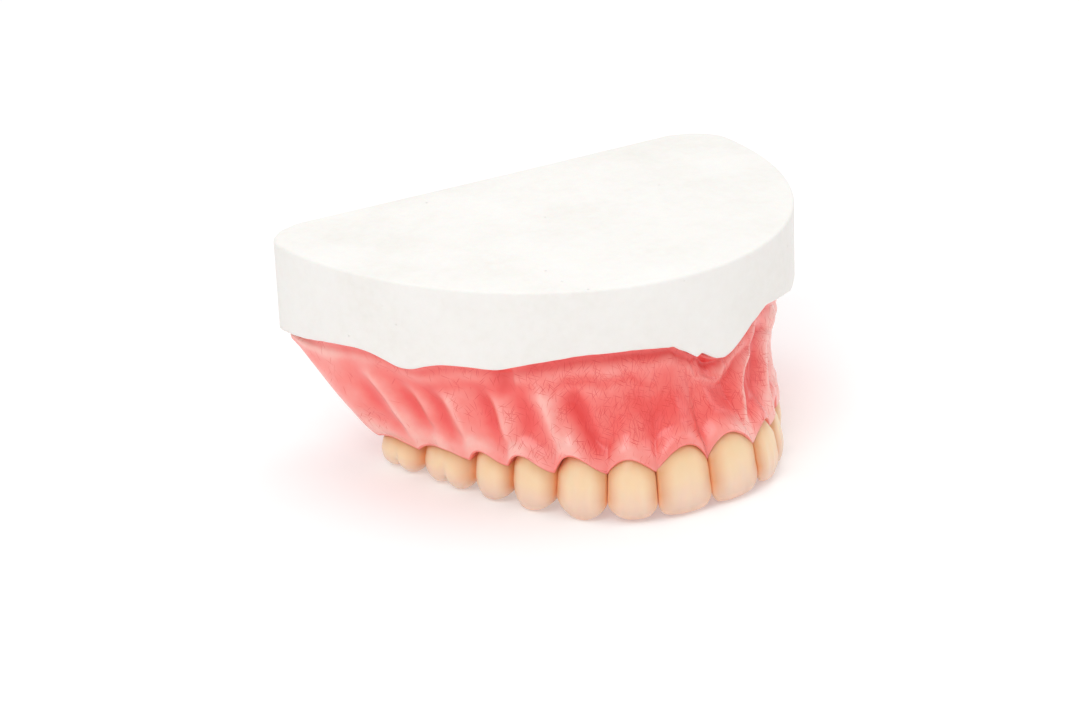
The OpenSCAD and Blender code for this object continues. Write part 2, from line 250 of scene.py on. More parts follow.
# hollow: side, its line, depth and width
HOLLOWS = [
    (-1, [(0.46, 9.0), (0.76, 7.2)], 0.26, 3.2),
    (1, [(0.34, 8.0), (0.72, 4.0)], 0.28, 2.2),
    (-1, [(0.45, 21.4), (0.85, 17.8)], 0.85, 1.6),
    (1, [(0.22, 20.6), (0.40, 18.4), (0.80, 13.4)], 0.38, 1.8),
    (0, [(0.38, 28.6), (0.78, 27.4)], 0.45, 1.3),
    (0, [(0.38, 34.0), (0.74, 33.0)], 0.75, 1.2),
    (0, [(0.38, 41.3), (0.76, 40.4)], 0.65, 1.0),
    (0, [(0.42, 45.6), (0.72, 44.6)], 0.65, 1.0),
    (0, [(0.42, 52.2), (0.70, 51.0)], 0.50, 1.6),
]


def line_at(line, t):
    """Place of a line at share t, and the shares where it starts and ends."""
    rows = np.array(line)
    return np.interp(t, rows[:, 0], rows[:, 1]), rows[0, 0], rows[-1, 0]


def on_side(s, side):
    return 1.0 if side == 0 else ease(-1.5, 1.5, side * s)


def ridges(s, t):
    out = 0
    for side, line, high, inner_w, outer_w in RIDGES:
        at, top, _ = line_at(line, t)
        d = np.abs(s) - at
        crest = high * np.exp(-(d / np.where(d < 0, inner_w, outer_w)) ** 2)
        out = out + crest * on_side(s, side) * ease(top - 0.16, top + 0.14, t)
    return out


def crest_highlights(s, t):
    """Narrow painted highlight along each sharp crest, stronger on the wearer's left; it brightens the colour
    only.
    """
    out = 0
    for side, line, high, _, _ in RIDGES:
        at, top, _ = line_at(line, t)
        sharp = high * ease(0.6, 0.9, high) * on_side(s, side) * (1.0 if side > 0 else 0.45)
        out = out + sharp * bump(np.abs(s), at - 0.1, 0.42) * ease(top - 0.12, top + 0.06, t)
    return out


def hollows(s, t):
    out = 0
    for side, line, deep, w in HOLLOWS:
        at, top, end = line_at(line, t)
        reach = ease(top - 0.2, top + 0.1, t) * (1 - ease(end - 0.12, end + 0.16, t))
        out = out + deep * on_side(s, side) * bump(np.abs(s), at, w) * reach
    return out


def lip_frenum(s, t):
    """The pocket beside the lip's frenum, with a rim under it."""
    pocket = bump(s, 5.0 - 5 * (t - 0.15), 2.0) * bump(t, 0.13, 0.11)
    rim = bump(np.hypot((s - 4.6) / 4.4, (t - 0.08) / 0.27), 1.0, 0.17) * ease(0.0, 0.1, t)
    return 0.85 * pocket, 0.30 * rim


def cheek_frenum(s, t):
    """Step in the border beside the first premolar: full in front of it, pinched in behind it."""
    a = np.abs(s)
    return 0.8 * bump(a, 30.5, 1.5) * ease(28.7, 29.1, a) * (1 - ease(0.14, 0.36, t))


def bead(s, t):
    """Rolled band under the border, and the crease and shelf below it between canine and midline."""
    a = np.abs(s)
    level = lerp(0.17, 0.13, ease(26, 50, a))
    front = ease(2, 6, a) * (1 - ease(28.5, 29.1, a))
    crease_at = 0.275 + 0.05 * bump(a, 8.5, 3) + 0.012 * np.sin(1.9 * a)
    crease = bump(t, crease_at, 0.035) * ease(6, 10, a) * (1 - ease(22, 25, a))
    return (0.30 * bump(t, level, 0.075) * lerp(0.55, 1, front) - 0.20 * bump(t, 0.035, 0.05)
            - 0.22 * crease + 0.25 * bump(t, 0.37, 0.07) * bump(a, 20.5, 4.0))


def uneven(s, t):
    """Low wandering dents left by the wax knife."""
    out = 0
    for k, (fs, ft, lean) in enumerate([(0.9, 9, 0.3), (-1.1, 8, 2.1), (0.55, 13, 4.0), (-0.7, 15, 1.2)]):
        out = out + np.sin(fs * s + ft * t + lean + 1.3 * np.sin(0.37 * s + 4 * t + k))
    return 0.022 * out * ease(0.05, 0.2, t)


def flange_relief(s, t):
    """How far the flange's surface stands out, all relief together."""
    a = np.abs(s)
    back = 1 - ease(ROW_END - 2, ROW_END + 5, a)
    margin = 0.26 * bump(t, 0.93, 0.075) - 0.20 * bump(t, 0.79, 0.07)
    papilla = -0.30 * (1 - crown_middle(s)) ** 2 * ease(0.74, 1.0, t)
    worn = lerp(1, 0.40, ease(0.76, 0.98, t))
    pocket, rim = lip_frenum(s, t)
    out = (0.8 * ridges(s, t) - 0.8 * hollows(s, t) - 0.2) * worn * lerp(0.4, 1, back)
    return (out + uneven(s, t) + rim - pocket - cheek_frenum(s, t) + bead(s, t)
            - 0.25 * bump(t, 0.5, 0.22) + (margin + papilla) * lerp(0.3, 1, back))


def flange_tone_and_shade(s, t):
    """Colour level of the flange, with painted light: 0 in the deep red hollows, 1 on the pale crests and
    along the gum edge. Hollows, creases and pockets are painted darker as shade, and crests, rims, the
    wearer's left side and the heels are painted paler as highlights; only part of the deep red is the
    acrylic's own, where it lies thick.
    """
    a = np.abs(s)
    pocket, rim = lip_frenum(s, t)
    front = 1 - ease(26, 30, a)
    # painted shadow of the cast's edge: a darker band along the border, strongest in front
    cast_shadow_strip = bump(t, 0.05 + 0.03 * bump(a, 10, 5), 0.05)
    # painted shade and highlight from the relief: ridges and raised dents paler, hollows darker
    tone_and_shade = 0.44 + 0.40 * ridges(s, t) - 0.62 * hollows(s, t) + 0.9 * uneven(s, t) + 0.04 * ease(28, 34, a)
    # painted highlight along the sharp crests and on the frenum's rim, painted shade in its pocket
    tone_and_shade = tone_and_shade + 0.42 * crest_highlights(s, t) - 0.75 * pocket + 0.5 * rim
    # painted shade in the cheek frenum's step; the bead painted paler and its crease darker
    tone_and_shade = tone_and_shade - 0.55 * cheek_frenum(s, t) + 0.60 * bead(s, t)
    # painted shadow along the border, and painted shade in a band below the bead at the premolars
    tone_and_shade = tone_and_shade - lerp(0.05, 0.22, front) * cast_shadow_strip - 0.20 * bump(t, 0.25, 0.07) * bump(a, 37, 9)
    # darker over the middle of the front flange and beside the left canine
    tone_and_shade = tone_and_shade - 0.20 * bump(a, 9, 7) * bump(t, 0.60, 0.2) - 0.14 * bump(s, 17, 6) * bump(t, 0.45, 0.3)
    # painted highlight: the wearer's left flange from canine to premolars made paler, standing in for its
    # sheen
    tone_and_shade = tone_and_shade + 0.46 * ease(22, 27, s) * (1 - ease(36, 50, s))
    # painted highlight on the rounded gum edge, less between the teeth
    tone_and_shade = tone_and_shade + 0.28 * ease(0.76, 0.93, t) * (1 - 0.4 * (1 - crown_middle(s)) ** 3)
    # painted highlight: the heels and the roll under their border made paler
    tone_and_shade = tone_and_shade + 0.25 * ease(50, 62, a) + 0.25 * bump(t, 0.12, 0.05) * ease(46, 54, a)
    return np.clip(tone_and_shade, 0, 1)


def hair_share(s, t):
    """How thickly the hairs lie: most over the front teeth, few at the back and along the gum edge."""
    a = np.abs(s)
    share = 0.30 + 0.7 * bump(a, 10, 10) * bump(t, 0.6, 0.25) + 0.5 * bump(a, 18, 6) * bump(t, 0.27, 0.1)
    return np.clip(share - 0.4 * ease(30, 45, a) - 0.3 * ease(0.85, 1, t), 0, 1)


# ---- mesh helpers
def make_object(name, points, quads, attributes=None, weld=0.0):
    """A smooth-shaded object from points in millimetres about the arch, and faces that index them."""
    used = np.unique(quads)
    index = np.full(len(points), -1)
    index[used] = np.arange(len(used))
    faces = [tuple(dict.fromkeys(index[list(q)])) for q in quads]
    mesh = bpy.data.meshes.new(name)
    mesh.from_pydata((points[used] - np.array([0, MID_Y, 0])) * MM, [], [f for f in faces if len(f) > 2])
    for key, values in (attributes or {}).items():
        layer = mesh.attributes.new(key, "FLOAT", "POINT")
        layer.data.foreach_set("value", np.asarray(values, float)[used])
    obj = bpy.data.objects.new(name, mesh)
    bpy.context.collection.objects.link(obj)
    if weld:
        bm = bmesh.new()
        bm.from_mesh(mesh)
        bmesh.ops.remove_doubles(bm, verts=bm.verts, dist=weld * MM)
        bmesh.ops.dissolve_degenerate(bm, edges=bm.edges, dist=1e-7)
        bmesh.ops.recalc_face_normals(bm, faces=bm.faces)
        bm.to_mesh(mesh)
        bm.free()
    mesh.validate()
    mesh.polygons.foreach_set("use_smooth", [True] * len(mesh.polygons))
    mesh.update()
    return obj


def grid_quads(ids, flip=False):
    a, b, c, d = ids[:-1, :-1], ids[:-1, 1:], ids[1:, 1:], ids[1:, :-1]
    q = np.stack([a, b, c, d] if not flip else [d, c, b, a], -1)
    return q.reshape(-1, 4)


def shared_ids(rows, cols, first=0):
    """Indices of a grid whose last column, in the midline, is shared by the arch's two halves."""
    ids = np.arange(rows * cols).reshape(rows, cols) + first
    ids[:, -1] = ids[np.minimum(np.arange(rows), rows - 1 - np.arange(rows)), -1]
    return ids


def to_points(s, r, z):
    """Points at distance r outwards from the arch curve, for station s, at height z."""
    u = span_vector(s)[0]
    p = arch_point(s)[:, None, :] - r[..., None] * u[:, None, :]
    return np.concatenate([p, z[..., None]], -1)


# ---- denture base
# stations along the arch, and points across each: roll, flange, lip, tooth bed, palate and fitting side
STATIONS = 641
ROLL_N, FLANGE_N, LIP_N, BED_N, PALATE_N, SEAT_WALL_N, SEAT_N = 9, 84, 6, 12, 46, 18, 40
OUTSIDE_N = ROLL_N + FLANGE_N
# radius of the border's roll, and the gum edge's lip: radius and turn
BORDER_R, LIP_R, LIP_TURN = 1.15, 0.42, 0.62 * np.pi
# how much longer the flange is than the arch curve it stands outside
FLANGE_SPREAD = 1.12
# depth of the wall inside the border, and how much further the cast stands clear of the border's inside
SEAT_DEEP, BORDER_CLEAR = 1.2, 0.1


def base_outer(s):
    """Border roll, flange, gum edge, tooth bed and palate: radius, height, colour level with painted shade
    and highlights, and hairs by station.
    """
    S = s[:, None]
    rb, zb, rg, g = (f[:, None] for f in (oval_r(s, BORDER_INSET), border_z(s), facial_r(s), gum_z(s)))
    rp, gp, d = palatal_r(s)[:, None], palatal_gum_z(s)[:, None], span_vector(s)[1][:, None]
    a = np.pi * (1 - fade(ROLL_N + 1)[None, :-1])
    roll_r, roll_z = rb - BORDER_R + BORDER_R * np.cos(a), zb - BORDER_R + BORDER_R * np.sin(a)
    t = fade(FLANGE_N)[None, :]
    out = flange_relief(S, t)
    fr = lerp(rb, rg, t) + bulge(S) * np.sin(np.pi * t) + out * np.sin(np.pi * np.clip(t * 5, 0, 0.5))
    fz = lerp(zb - BORDER_R, g, t) + 0.12 * np.minimum(out, 0)
    lip = fade(LIP_N + 1)[None, 1:] * LIP_TURN
    re, ze = fr[:, -1:], fz[:, -1:]
    lr, lz = re - LIP_R * (1 - np.cos(lip)), ze - LIP_R * np.sin(lip)
    q = fade(BED_N)[None, 1:]
    br, bz = lerp(lr[:, -1:], rp + 0.8, q), lerp(lz[:, -1:] + 0.1, gp, q) + 0.6 * np.sin(np.pi * q)
    x = fade(PALATE_N, 1, 0)[None, :]
    pr, pz = (d + rp) * x - d, palate_z(S, x) + 0.5 * ease(0.75, 1.0, x) * (1 - ease(0.93, 1.0, x))
    r = np.concatenate([roll_r, fr, lr, br, pr], 1)
    z = np.concatenate([roll_z, fz, lz, bz, pz], 1)
    bed = 0 * np.concatenate([lr, br], 1)
    tone_and_shade = np.concatenate([0 * roll_r + 0.35, flange_tone_and_shade(S, t) + 0 * fr, bed + 0.6,
                           0.45 + 0.2 * x + 0 * pr], 1)
    hairs = np.concatenate([0 * roll_r, hair_share(S, t) + 0 * fr, bed, 0.25 + 0 * pr], 1)
    return r, z, tone_and_shade, hairs


def seat(s, gap):
    """Surface where base and cast meet: sulcus wall, ridge and palate, raised by gap."""
    S = s[:, None]
    rin = (oval_r(s, BORDER_INSET) - BORDER_T - (SEAT_GAP + BORDER_CLEAR if gap else 0))[:, None]
    zin, rc, zc = (border_z(s) - SEAT_DEEP)[:, None] + gap, crest_r(s)[:, None], crest_z(s)[:, None] + gap
    rp, d = palatal_r(s)[:, None], span_vector(s)[1][:, None]
    t = fade(SEAT_WALL_N, 1, 0)[None, :] * np.pi / 2
    r1, z1 = lerp(rc, rin, np.sin(t)), lerp(zc, zin, 1 - np.cos(t))
    j = fade(SEAT_N)[None, 1:]
    q0 = (d + rc) / (d + rp)
    q = q0 * (1 - j)
    x = np.minimum(q, 1.3)
    slope = VAULT_POWER * (vault(S) - palatal_gum_z(S)) * np.maximum(x, 0) ** (VAULT_POWER - 1) / (d + rp)
    over = palate_z(S, x) + (PALATE_T + gap) * np.sqrt(1 + slope ** 2)
    r2, z2 = (d + rp) * q - d, soft_max(zc, over, 0.6) - 0.3 * (q / q0) ** 4
    return np.concatenate([r1, r2], 1), np.concatenate([z1, z2], 1)


def settle_palate(grid, first, rounds=26):
    """Evens out the palate's heights where the stations crowd together at the front of the midline."""
    z = grid[..., 2]
    rows = len(z)
    mirror = rows - 1 - np.arange(rows)
    k = np.arange(z.shape[1])
    weight = ease(first, first + 12, k)[None, :]
    for _ in range(rounds):
        side = (np.roll(z, 1, 0) + np.roll(z, -1, 0)) / 2
        side[0], side[-1] = z[0], z[-1]
        nxt = np.concatenate([z[:, 1:], z[mirror][:, -2:-1]], 1)
        prv = np.concatenate([z[:, :1], z[:, :-1]], 1)
        z = lerp(z, 0.5 * side + 0.25 * (nxt + prv), 0.6 * weight)
        z[:, -1] = (z[:, -1] + z[mirror, -1]) / 2
    grid[..., 2] = z
    return grid


def round_heels(grid, s, rounds=90):
    """Rounds the section behind the last molar, where the row's ledges run out into the tuberosity."""
    weight = ease(ROW_END - 1.0, ROW_END + 2.5, np.abs(s))[:, None, None]
    columns = np.arange(grid.shape[1])
    first, last = ROLL_N + 1 + FLANGE_N * 0.55, grid.shape[1] - 8
    middle = ease(first - 20, first, columns) * (1 - ease(last - 10, last, columns))
    weight = weight * middle[None, :, None]
    for _ in range(rounds):
        around = (grid + np.roll(grid, 1, 1) + np.roll(grid, -1, 1)) / 3
        along = (np.roll(grid, 1, 0) + np.roll(grid, -1, 0)) / 2
        along[0], along[-1] = grid[0], grid[-1]
        grid = lerp(grid, 0.6 * around + 0.4 * along, weight)
    return grid


def make_base():
    """The outer and fitting surfaces, joined round the border and across both heels."""
    s = np.linspace(-ARCH_LEN, ARCH_LEN, STATIONS)
    r, z, tone_and_shade, hairs = base_outer(s)
    outer = settle_palate(to_points(s, r, z), r.shape[1] - PALATE_N + 4)
    outer = round_heels(outer, s)
    ri, zi = seat(s, 0)
    inner = settle_palate(to_points(s, ri, zi), ri.shape[1] - SEAT_N + 6)
    rows, c1, c2 = len(s), outer.shape[1], inner.shape[1]
    ids1, ids2 = shared_ids(rows, c1), shared_ids(rows, c2, rows * c1)
    quads = [grid_quads(ids1), grid_quads(ids2, True)]
    quads.append(grid_quads(np.stack([ids2[:, 0], ids1[:, 0]], 1)))
    points = np.concatenate([outer.reshape(-1, 3), inner.reshape(-1, 3)])
    # where the hairs' pattern lies: along and up the flange, and in plan everywhere else
    place = points[:, :2].copy()
    on_flange = np.zeros(len(points), bool)
    on_flange[:rows * c1] = np.tile(np.arange(c1) < OUTSIDE_N, rows)
    place[on_flange] = np.stack([np.repeat(FLANGE_SPREAD * s, OUTSIDE_N), points[on_flange, 2]], 1)
    edge = len(points)
    for j, last in ((0, False), (rows - 1, True)):
        roll, faces, line = rounded_end(points, ids1[j], ids2[j], len(points), last)
        points = np.concatenate([points, roll])
        quads += [faces, end_cap(points, line, ids2[j], last)]
    more = len(points) - edge
    place = np.concatenate([place, points[edge:, :2]])
    attributes = {"hair_u": place[:, 0], "hair_v": place[:, 1],
                  "tone_and_shade": np.concatenate([tone_and_shade.ravel(), np.full(rows * c2, 0.4), np.full(more, 0.55)]),
                  "hair_share": np.concatenate([hairs.ravel(), np.full(rows * c2, 0.2), np.zeros(more)])}
    return make_object("base_pink_acrylic", points, np.concatenate(quads), attributes)


# how far the back border's roll stands out, how many steps it turns in, and the plate it was set for
END_ROLL, END_TURNS, END_PLATE = 0.9, 9, 2.2


def run_share(line):
    """How far along a line of points each of them is, from 0 to 1."""
    run = np.concatenate([[0], np.cumsum(np.linalg.norm(np.diff(line, axis=0), axis=1))])
    return run / run[-1]


def rounded_end(points, outer, inner, first, last):
    """Rolls the outer surface's end line round the back border towards the fitting side's end line."""
    a = points[outer]
    run, inner_run = run_share(a), run_share(points[inner])
    b = np.stack([np.interp(run, inner_run, points[inner][:, k]) for k in range(3)], 1)
    thick = np.linalg.norm(b - a, axis=1, keepdims=True)
    back = np.stack([0.25 * a[:, 0] / abs(a[0, 0]), 1 + 0 * a[:, 0], 0 * a[:, 0]], 1)
    reach = back * END_ROLL * np.minimum(1, thick / END_PLATE)
    rows = [lerp(a, b, (1 - math.cos(w)) / 2) + reach * math.sin(w)
            for w in fade(END_TURNS + 1)[1:-1] * np.pi]
    ids = np.concatenate([[outer], first + np.arange(len(rows) * len(a)).reshape(len(rows), -1)])
    return np.concatenate(rows), grid_quads(ids, not last), ids[-1]


def end_cap(points, a, b, flip):
    """Joins the ends of the outer and fitting surfaces, matched by how far along each line a point is."""
    ta, tb = run_share(points[a]), run_share(points[b])
    faces, i, j = [], 0, 0
    while i < len(a) - 1 or j < len(b) - 1:
        if j == len(b) - 1 or (i < len(a) - 1 and ta[i + 1] <= tb[j + 1]):
            tri, i = (a[i], a[i + 1], b[j], b[j]), i + 1
        else:
            tri, j = (a[i], b[j + 1], b[j], b[j]), j + 1
        faces.append(tri[::-1] if flip else tri)
    return np.array(faces)


# ---- teeth
RING_N = 88
# crown outline at height share v: half width, and facial and lingual depth as shares of the thickness
FRONT = {
    "hw": [(0, 0.96), (0.2, 1.0), (0.35, 1.0), (0.5, 0.975), (0.7, 0.91), (0.85, 0.84), (1, 0.74),
           (1.08, 0.66)],
    "yf": [(0, 0.035), (0.1, 0.075), (0.25, 0.09), (0.45, 0.055), (0.65, -0.005), (0.85, -0.11),
           (1, -0.27), (1.08, -0.42)],
    "yl": [(0, 0.20), (0.1, 0.25), (0.3, 0.40), (0.6, 0.72), (0.85, 0.97), (1, 1.0), (1.08, 0.95)],
}
BACK = {
    "hw": [(0, 0.80), (0.08, 0.89), (0.2, 0.965), (0.4, 1.0), (0.7, 0.95), (1, 0.84), (1.12, 0.74)],
    "yf": [(0, 0.03), (0.1, 0.095), (0.25, 0.13), (0.45, 0.14), (0.75, 0.105), (1, 0.02), (1.12, -0.06)],
    "yl": [(0, 0.78), (0.18, 0.90), (0.4, 0.95), (0.7, 0.95), (1, 0.90), (1.12, 0.86)],
}
# rounded lower corners of the front teeth, in mm: across and up
CORNERS = [(1.5, 2.4), (1.75, 2.8), (2.4, 3.4)]
# radius that the front teeth's biting edge is rounded to
EDGE_ROUND = 0.55
# cusps of the back teeth on the biting face: x away from the midline and y towards the cheek in mm, drop
CUSPS = {
    3: [(0.5, 2.6, 0.0), (0.2, -2.1, 0.25)],
    4: [(0.4, 2.6, 0.0), (0.2, -2.0, 0.2)],
    5: [(-1.65, 2.8, 0.0), (2.2, 2.7, 0.1), (-1.7, -2.2, 0.0), (2.3, -2.2, 0.45)],
    6: [(-1.45, 2.7, 0.0), (2.1, 2.6, 0.15), (-1.5, -2.1, 0.1), (2.1, -2.1, 0.6)],
}
# how steeply the cusps fall away, across x and across y
CUSP_ROUND = {3: (0.15, 0.28), 4: (0.17, 0.28), 5: (0.26, 0.25), 6: (0.30, 0.25)}
# depth of the pit between the cusps, sharpness of the ridges between them, and where the face falls away
FOSSA_DEEP, RIDGE_SHARP, DOME_X, DOME_Y = 1.5, 7.0, 1.2, 1.6
# groove in the molars' cheek face and lobes in the front teeth's face, in mm, and the groove's share of width
GROOVE_DEEP, GROOVE_W, LOBE_DEEP = 0.50, 0.17, 0.06
# where a front tooth is widest, from its face backwards, and how softly its sides meet the next tooth's
WIDEST_Y = -1.4
CONTACT_BACK, CONTACT_SOFT = 0.04, 0.10
# how far below the gum edge the neck is coloured warmer and darker, in mm: its own tint and painted shade
# under the gum's lip
NECK_TINT_AND_SHADE = 2.5


def tooth_angle(i):
    """Angle in plan of the chord that tooth i stands on."""
    v = arch_point(START[i + 1]) - arch_point(START[i])
    return math.atan2(v[1], v[0])


def contact_limit(i, distal, y):
    """Half width at depth y up to the plane shared with the next tooth, on the distal or the other side."""
    half = np.linalg.norm(arch_point(START[i + 1]) - arch_point(START[i])) / 2
    back = (tooth_angle(i + 1) - tooth_angle(i)) / 2 if i < len(KINDS) - 1 else 0
    front = (tooth_angle(i) - tooth_angle(i - 1)) / 2 if i > 0 else tooth_angle(0)
    return half - CONTACT_GAP / 2 + y * np.where(distal, math.tan(back), math.tan(front))


def corner_cut(i, up):
    """How much a front tooth's rounded lower corner takes off its half width at a height above the tip."""
    across, high = CORNERS[i]
    return across * (1 - math.sqrt(1 - max(0.0, 1 - up / high) ** 2))


def outline(i, v, angle):
    """Crown outline at height share v: x and y of the points at the given angles."""
    table = FRONT if i < FIRST_BACK else BACK
    hw = TOOTH_W[i] / 2 * smooth_curve(table["hw"], v, 0.06)
    if i < FIRST_BACK:
        hw -= corner_cut(i, EDGE_ROUND + v * (CROWN_H[i] - TIP_Z[i] - EDGE_ROUND))
    yf = smooth_curve(table["yf"], v, 0.10) * TOOTH_T[i]
    yl = -smooth_curve(table["yl"], v, 0.10) * TOOTH_T[i]
    yc = min(max(lerp(yf, yl, 0.5), WIDEST_Y), yf - lerp(0.9, 3.0, ease(0.45, 1.0, v)))
    c, n = np.cos(angle), np.sin(angle)
    e = lerp(0.92, 1.0, ease(0.4, 0.8, v))
    y = yc + np.where(n > 0, yf - yc, yc - yl) * np.sign(n) * np.abs(n) ** e
    x = hw * np.abs(c) ** e
    x = -soft_max(-x, -contact_limit(i, c > 0, y) - CONTACT_BACK, CONTACT_SOFT)
    return np.sign(c) * np.where(np.abs(c) < 1e-6, 0, np.maximum(x, 0)), y


def edge_rise(i, angle):
    """How far the biting edge of a front tooth climbs towards its corners."""
    c = np.cos(angle)
    if i == CANINE:
        return 0.55 * c ** 2 + 0.15 * np.maximum(c, 0)
    return (0.15 + 0.1 * i) * c ** 2 + (0.15 + 0.15 * i) * np.maximum(0, c) ** 2


def biting_height(i, x, y):
    """Height of a back tooth's biting face above its tip, x and y in mm from the crown's middle."""
    kx, ky = CUSP_ROUND[i]
    falls = [drop + kx * (x - cx) ** 2 + ky * (y - cy) ** 2 for cx, cy, drop in CUSPS[i]]
    h = -np.log(sum(np.exp(-RIDGE_SHARP * fall) for fall in falls) + 1e-30) / RIDGE_SHARP
    dome = kx * np.maximum(np.abs(x) - DOME_X, 0) ** 2 + ky * np.maximum(np.abs(y) - DOME_Y, 0) ** 2
    return -soft_max(-h, -(FOSSA_DEEP + dome), 0.15)


def biting_cap(i, x, y, angle):
    """Rings from the middle of the biting edge or face out to its rim, and the rim's height."""
    cx, cy = (x.max() + x.min()) / 2, (y.max() + y.min()) / 2
    if i >= FIRST_BACK:
        rim = biting_height(i, x - cx, y - cy)
        shares = fade(24)[:-1]
        return [(cx + q * (x - cx), cy + q * (y - cy), biting_height(i, q * (x - cx), q * (y - cy)))
                for q in shares], rim
    rise = edge_rise(i, angle)
    rings = []
    for a in fade(12)[:-1] * np.pi / 2:
        up = EDGE_ROUND * (1 - math.cos(a))
        narrow = 1 - (corner_cut(i, up) - corner_cut(i, EDGE_ROUND)) / x.max()
        rings.append((x * narrow, cy + (y - cy) * math.sin(a), rise + up))
    return rings, rise + EDGE_ROUND


def crown_rings(i):
    """Rings of points over the biting face, down its rim and up the crown into the gum."""
    angle = np.linspace(0, 2 * np.pi, RING_N, endpoint=False)
    v_top = (FRONT if i < FIRST_BACK else BACK)["hw"][-1][0]
    xr, yr = outline(i, 0.0, angle)
    hx = (xr.max() - xr.min()) / 2
    cap, rim = biting_cap(i, xr, yr, angle)
    rings = [np.stack([x, y, TIP_Z[i] + h], -1) for x, y, h in cap]
    low = TIP_Z[i] + rim
    facial = np.maximum(0, np.sin(angle)) ** 1.5
    for v in np.concatenate([fade(14, 0, 0.2), fade(24, 0.2, 1.0)[1:], fade(4, 1.0, v_top)[1:]]):
        x, y = outline(i, v, angle)
        z = lerp(low, CROWN_H[i], v) if v <= 1 else CROWN_H[i] + 10 * (v - 1) + 0 * x
        if i >= FIRST_MOLAR:
            y = y - GROOVE_DEEP * bump(x / hx, 0.0, GROOVE_W) * facial * (1 - ease(0.3, 0.8, v))
        elif i < FIRST_BACK:
            lobes = np.cos(3 * np.pi * np.clip(x / hx, -1, 1))
            y = y + LOBE_DEEP * lobes * facial * (1 - ease(0.4, 0.8, v)) * ease(0, 0.1, v)
        rings.append(np.stack([x, y, z], -1))
    return np.array(rings)


def make_crown(i, side):
    """side is -1 for the wearer's right and 1 for the left."""
    rings = crown_rings(i)
    n_rings = len(rings)
    a, b, m = arch_point(START[i]), arch_point(START[i + 1]), arch_point(MIDDLE[i])
    t = math.atan2(b[1] - a[1], b[0] - a[0])
    x, y = rings[..., 0], -rings[..., 1]
    px, py = m[0] + x * math.cos(t) - y * math.sin(t), m[1] + x * math.sin(t) + y * math.cos(t)
    points = np.stack([side * px, py, rings[..., 2]], -1).reshape(-1, 3)
    ids = np.arange(n_rings * RING_N).reshape(n_rings, RING_N)
    ids = np.concatenate([ids, ids[:, :1]], 1)
    quads = grid_quads(ids, side > 0)
    top = ids[-1, :-1]
    middle = len(points)
    points = np.concatenate([points, points[top].mean(0, keepdims=True)])
    cap = np.stack([top, np.roll(top, -1), np.full_like(top, middle), np.full_like(top, middle)], 1)
    quads = np.concatenate([quads, cap if side < 0 else cap[:, ::-1]])
    height = np.clip((points[:, 2] - TIP_Z[i]) / (CROWN_H[i] - TIP_Z[i]), 0, 1.3)
    # neck tint and painted shade: 1 at the gum edge, falling to 0 a little below it
    below_gum = gum_z(MIDDLE[i] + rings[..., 0]).ravel() - points[:-1, 2]
    neck_tint_and_shade = np.concatenate([np.clip(1 - below_gum / NECK_TINT_AND_SHADE, 0, 1), [1]])
    half = np.abs(rings[..., 0]) / (TOOTH_W[i] / 2)
    if i == len(KINDS) - 1:
        half = np.where(rings[..., 0] > 0, 0.6 * half, half)
    sides = np.concatenate([half.ravel(), [0.5]])
    name = f"crown_{'right' if side < 0 else 'left'}_{KINDS[i]}"
    return make_object(name, points, quads, {"height": height, "sides": sides, "neck_tint_and_shade": neck_tint_and_shade}, weld=0.012)


# ---- plaster cast
CAST_STATIONS, HEEL_N, WALL_N, TOP_N = 481, 26, 26, 60
# round of the edge between wall and flat face, and ease and wear of the wall's lower edge
CAST_EDGE_R, LAND_EDGE, WEAR = 0.45, 0.12, 0.018
# groove for the border, measured from it: land's end, side, round of the side, floor's end and mouth
GROOVE_LAND, GROOVE_SIDE, GROOVE_R, GROOVE_IN, GROOVE_LOW = 0.45, 0.3, 1.0, 1.8, 0.2
# first point across the underside that lies in the palate
CAST_PALATE = 40
# heel of the cast, from the denture's end to the back wall: distance back, and half width there
HEEL = [(0.0, 39.3), (1.2, 39.2), (3.0, 38.2), (4.8, 36.2), (6.0, 33.0)]


def wear(s, waves=9):
    """Slight unevenness along the wall's lower edge."""
    rng = np.random.default_rng(SEED)
    out = np.zeros_like(s, float)
    for k in range(waves):
        out += rng.normal() * np.sin(s * (0.35 + 0.33 * k) + rng.uniform(0, 6.28)) / (1 + 0.4 * k)
    return WEAR * out


def cast_under(s):
    """Wall edge, land, groove round the border, ridge and palate."""
    rb, zb, ro = (f[:, None] for f in (oval_r(s, BORDER_INSET), border_z(s), oval_r(s, 0)))
    worn, land, low = wear(s)[:, None], land_z(s)[:, None], zb - GROOVE_LOW
    r0 = np.concatenate([ro, ro - LAND_EDGE, rb + GROOVE_LAND, rb + GROOVE_SIDE], 1)
    z0 = np.concatenate([land + LAND_EDGE + worn, land + worn, land, low], 1)
    a = fade(9)[None, :] * np.pi / 2
    top = zb + SEAT_GAP + BORDER_CLEAR
    r1 = np.concatenate([rb + GROOVE_SIDE - GROOVE_R * (1 - np.cos(a)), rb - GROOVE_IN], 1)
    z1 = np.concatenate([lerp(low, top, np.sin(a)), top], 1)
    r2, z2 = seat(s, SEAT_GAP)
    return np.concatenate([r0, r1, r2], 1), np.concatenate([z0, z1, z2], 1)


